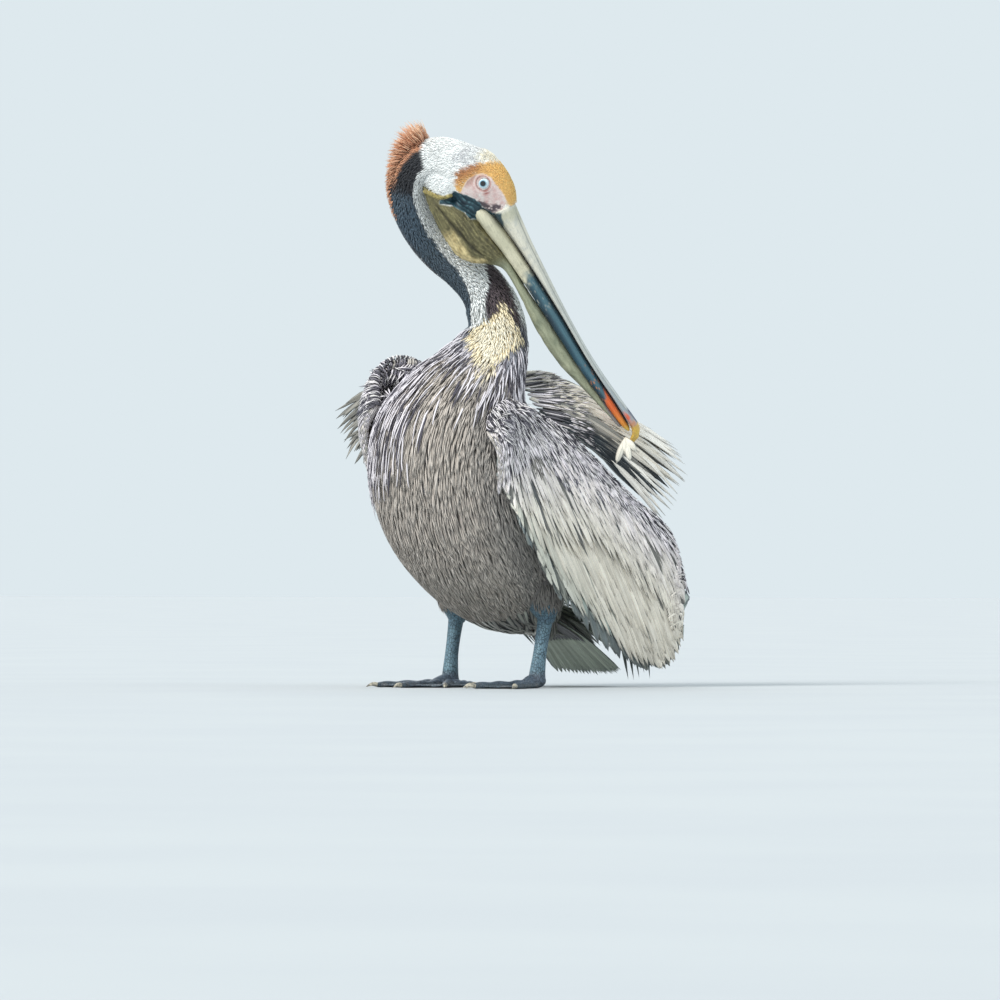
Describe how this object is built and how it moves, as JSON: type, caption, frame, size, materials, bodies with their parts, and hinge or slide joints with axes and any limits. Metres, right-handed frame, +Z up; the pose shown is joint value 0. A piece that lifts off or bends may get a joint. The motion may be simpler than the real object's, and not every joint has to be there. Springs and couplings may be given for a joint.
{
  "type": "brown pelican",
  "caption": "Standing adult pelican, neck arched back, long bill laid to its left along raised shoulder feathers, left wing hung half open, right wrist lifted.",
  "frame": {"origin": "centre of the object's bounding box, at floor level under the feet", "axes": "+Z up; the breast faces -Y; +X is the bird's own left, the side the bill is turned to"},
  "size_m": [0.3616, 0.3738, 0.6905],
  "materials": {
    "body_plumage": "loose long streaked feathers, grey-brown",
    "neck_plumage": "short dense feathers, white, slate and chestnut",
    "head_plumage": "short velvety feathers with bare skin round the eye",
    "wing_plumage": "layered vanes, silver-grey and warm grey with dark gaps",
    "tail_plumage": "stiff vanes with pale shafts",
    "horn": "satin horn with fine speckle",
    "pouch_skin": "finely wrinkled olive-yellow skin",
    "eye": "wet and clear, pale iris",
    "leg_skin": "reticulate scales, blue-grey"
  },
  "bodies": {
    "root": {"trunk": "body_plumage", "neck_lower": "neck_plumage", "neck_mid": "neck_plumage", "neck_upper": "neck_plumage", "head": "head_plumage", "nape_crest": "neck_plumage", "bill_upper": "horn", "bill_lower": "horn", "throat_pouch": "pouch_skin", "eye_right": "eye", "eye_left": "eye", "wing_left_arm": "wing_plumage", "wing_left_coverts": "wing_plumage", "wing_left_secondaries": "wing_plumage", "wing_left_primaries": "wing_plumage", "scapulars_left": "wing_plumage", "wing_left_tertials": "wing_plumage", "wing_right_arm": "wing_plumage", "wing_right_coverts": "wing_plumage", "wing_right_secondaries": "wing_plumage", "wing_right_primaries": "wing_plumage", "wing_right_ruffled": "wing_plumage", "scapulars_right": "wing_plumage", "tail": "tail_plumage", "thigh_left": "body_plumage", "thigh_right": "body_plumage", "shank_left": "leg_skin", "shank_right": "leg_skin", "foot_left": "leg_skin", "foot_right": "leg_skin"}
  },
  "joints": []
}
